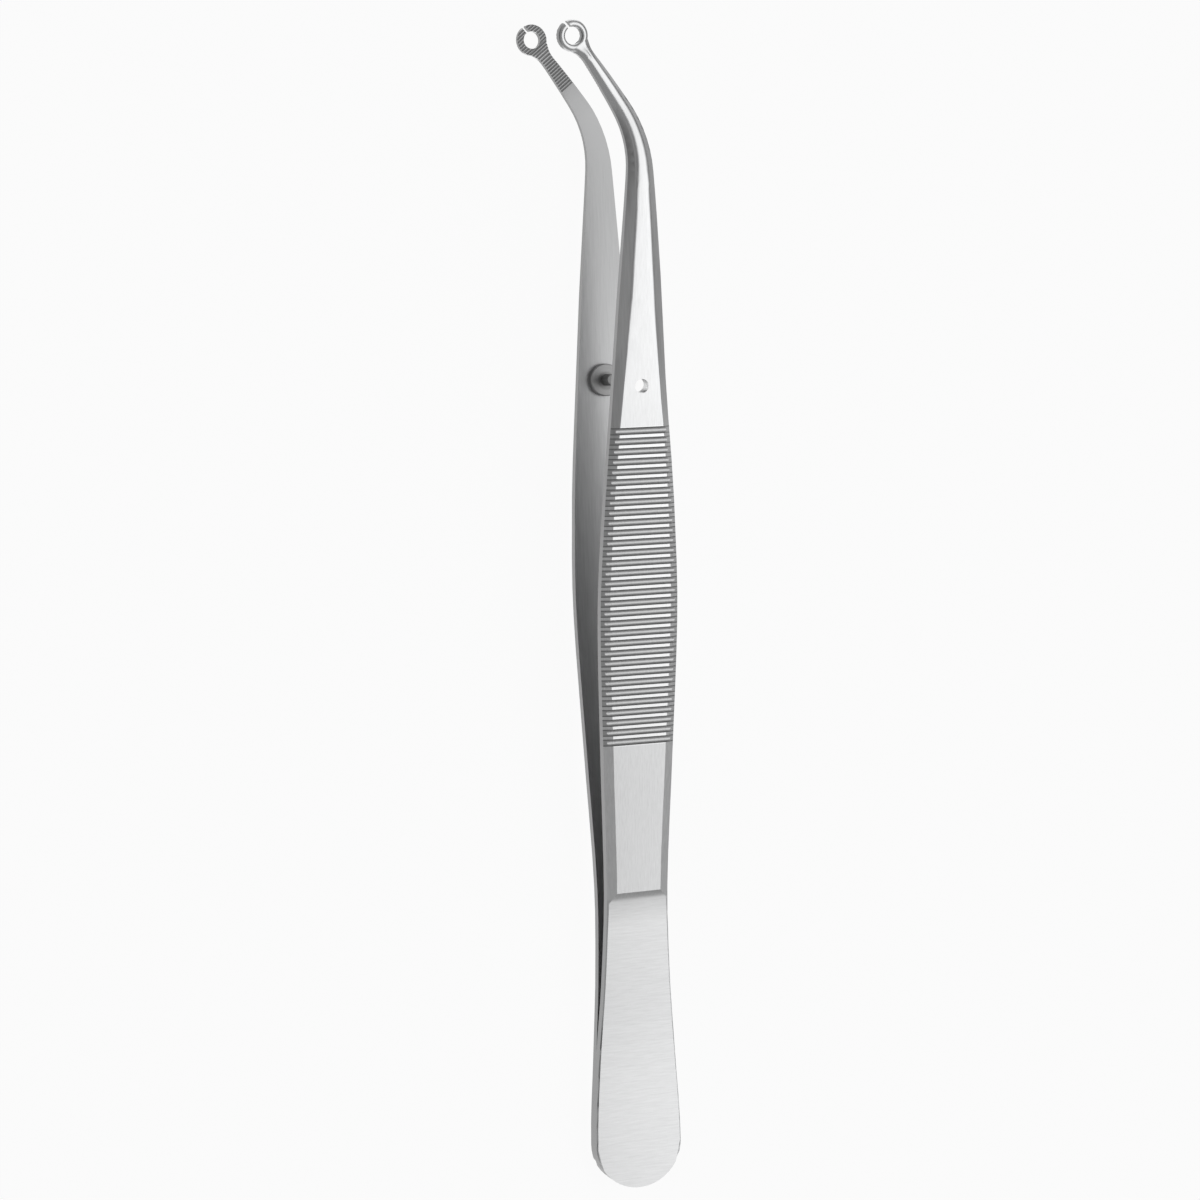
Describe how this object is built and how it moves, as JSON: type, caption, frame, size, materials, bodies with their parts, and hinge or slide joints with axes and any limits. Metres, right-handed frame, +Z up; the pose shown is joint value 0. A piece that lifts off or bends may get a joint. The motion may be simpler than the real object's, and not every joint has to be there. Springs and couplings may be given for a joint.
{
  "type": "suture forceps",
  "caption": "Angled suture forceps: welded spring arms with ribbed grips, a guide pin and toothed, slotted ring tips.",
  "frame": {"origin": "middle of the bounding box in plan, at the ground that the lower arm lies on", "axes": "+Y from the butt end to the ring tips, +X to the side that the tips bend away from, +Z up from the lower arm to the upper arm"},
  "size_m": [0.0162, 0.1502, 0.0189],
  "materials": {
    "lower_arm_steel": "fine lengthwise satin brushing",
    "upper_arm_steel": "fine lengthwise satin brushing",
    "guide_pin_steel": "turned, satin"
  },
  "bodies": {
    "lower": {"lower_arm": "lower_arm_steel", "guide_pin": "guide_pin_steel"},
    "upper": {"upper_arm": "upper_arm_steel"}
  },
  "joints": [
    {"name": "squeeze", "type": "hinge", "parent": "lower", "child": "upper", "pos_m": [0.00221, -0.05678, 0.00237], "axis": [1, 0, 0], "range_deg": [-6.34, 0], "stiffness_Nm_per_rad": 3}
  ]
}
